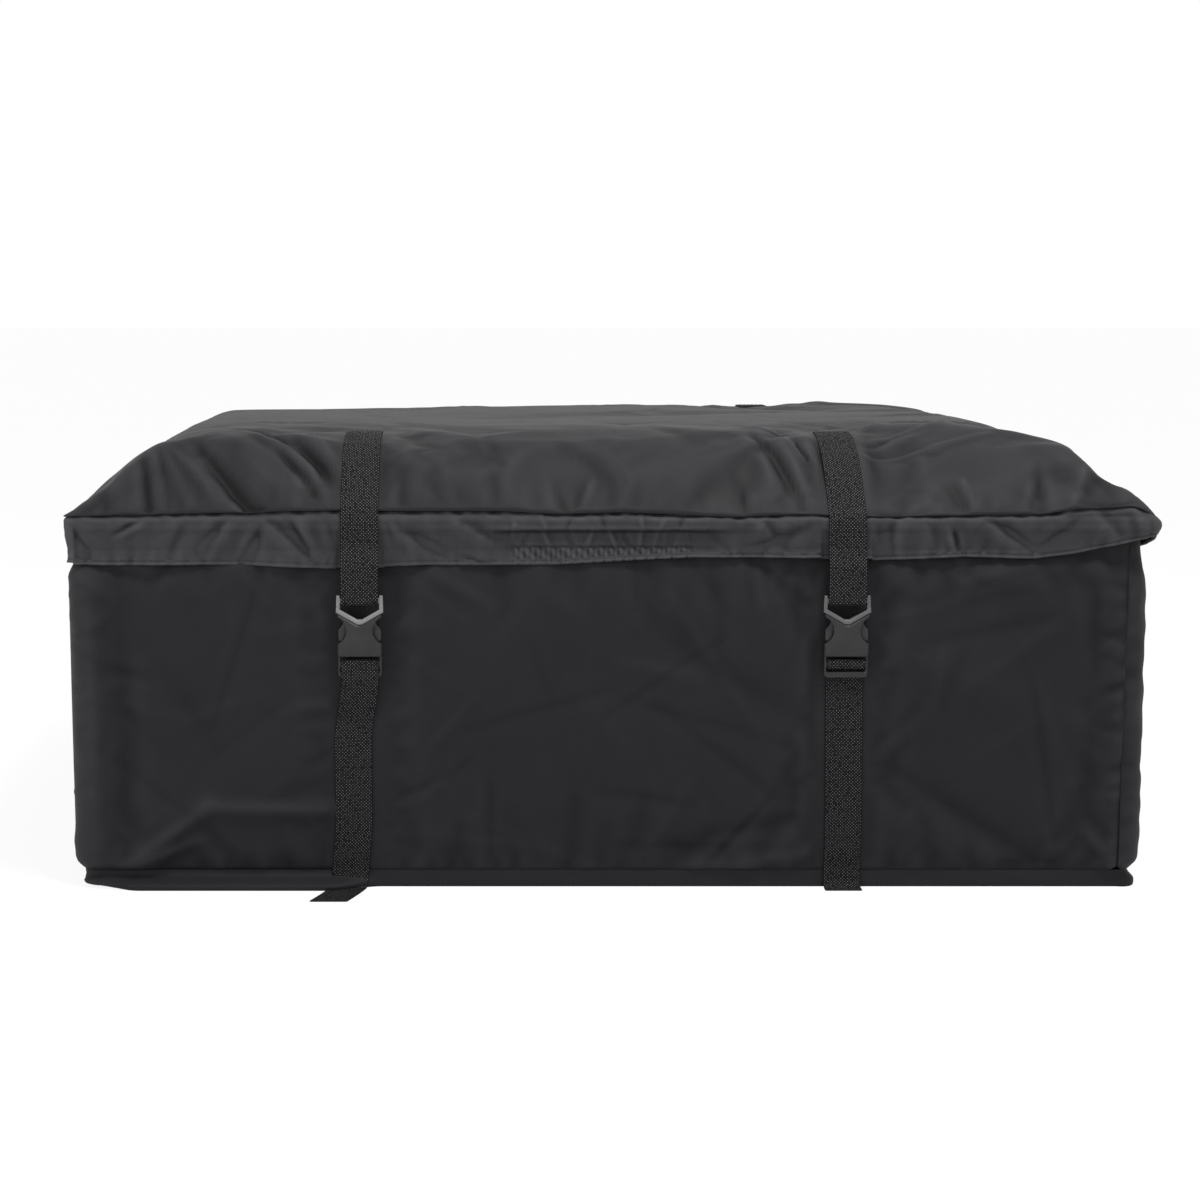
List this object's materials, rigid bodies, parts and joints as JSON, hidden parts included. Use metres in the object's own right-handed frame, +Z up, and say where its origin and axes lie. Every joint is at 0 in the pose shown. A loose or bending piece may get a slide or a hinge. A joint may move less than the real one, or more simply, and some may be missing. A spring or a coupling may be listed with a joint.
{
  "type": "roof cargo bag",
  "caption": "Soft rectangular roof cargo bag with a domed zip lid, a storm flap over the zip, and webbing straps with side-release buckles.",
  "frame": {"origin": "middle of the base's underside, on the surface that the bag stands on", "axes": "+X to the right as seen from the front, along the longest side; -Y to the front, where the two buckled straps and the flap's hook strip are; +Z up"},
  "size_m": [1.12, 0.9412, 0.4674],
  "materials": {
    "cloth": "coated black polyester with a soft sheen",
    "flap": "coated black polyester with a soft sheen",
    "hook_tape": "matt hook and loop tape",
    "webbing": "matt woven polyester webbing",
    "zip": "woven zip tape with a plastic coil",
    "plastic": "moulded black plastic with worn pale edges",
    "metal": "black enamelled zinc"
  },
  "bodies": {
    "root": {"base_panel": "cloth", "front_wall": "cloth", "back_wall": "cloth", "left_wall": "cloth", "right_wall": "cloth", "lid_panel": "cloth", "storm_flap": "flap", "hook_strip": "hook_tape", "loop_strip": "hook_tape", "zip_tape_upper": "zip", "zip_tape_lower": "zip", "front_left_upper_webbing": "webbing", "front_left_socket": "plastic", "front_left_lower_webbing": "webbing", "front_right_upper_webbing": "webbing", "front_right_socket": "plastic", "front_right_lower_webbing": "webbing", "back_left_upper_webbing": "webbing", "back_left_socket": "plastic", "back_left_lower_webbing": "webbing", "back_right_upper_webbing": "webbing", "back_right_socket": "plastic", "back_right_lower_webbing": "webbing"},
    "zip_slider_left": {"zip_slider_left": "metal"},
    "zip_pull_left": {"zip_pull_left": "metal"},
    "zip_slider_right": {"zip_slider_right": "metal"},
    "zip_pull_right": {"zip_pull_right": "metal"},
    "front_left_plug": {"front_left_plug": "plastic"},
    "front_right_plug": {"front_right_plug": "plastic"},
    "back_left_plug": {"back_left_plug": "plastic"},
    "back_right_plug": {"back_right_plug": "plastic"}
  },
  "joints": [
    {"name": "zip_slide_left", "type": "slide", "parent": "root", "child": "zip_slider_left", "axis": [-1, 0, 0], "range_m": [0, 0.5]},
    {"name": "zip_pull_swing_left", "type": "hinge", "parent": "zip_slider_left", "child": "zip_pull_left", "pos_m": [-0.012, -0.4333, 0.3805], "axis": [0, 0, 1], "range_deg": [0, 8]},
    {"name": "zip_slide_right", "type": "slide", "parent": "root", "child": "zip_slider_right", "axis": [1, 0, 0], "range_m": [0, 0.5]},
    {"name": "zip_pull_swing_right", "type": "hinge", "parent": "zip_slider_right", "child": "zip_pull_right", "pos_m": [0.012, -0.4333, 0.3805], "axis": [0, 0, -1], "range_deg": [0, 8]},
    {"name": "front_left_release", "type": "slide", "parent": "root", "child": "front_left_plug", "axis": [0, 0, 1], "range_m": [0, 0.034], "deforming": ["front_left_plug", "front_left_upper_webbing"]},
    {"name": "front_right_release", "type": "slide", "parent": "root", "child": "front_right_plug", "axis": [0, 0, 1], "range_m": [0, 0.034], "deforming": ["front_right_plug", "front_right_upper_webbing"]},
    {"name": "back_left_release", "type": "slide", "parent": "root", "child": "back_left_plug", "axis": [0, 0, 1], "range_m": [0, 0.034], "deforming": ["back_left_plug", "back_left_upper_webbing"]},
    {"name": "back_right_release", "type": "slide", "parent": "root", "child": "back_right_plug", "axis": [0, 0, 1], "range_m": [0, 0.034], "deforming": ["back_right_plug", "back_right_upper_webbing"]}
  ]
}
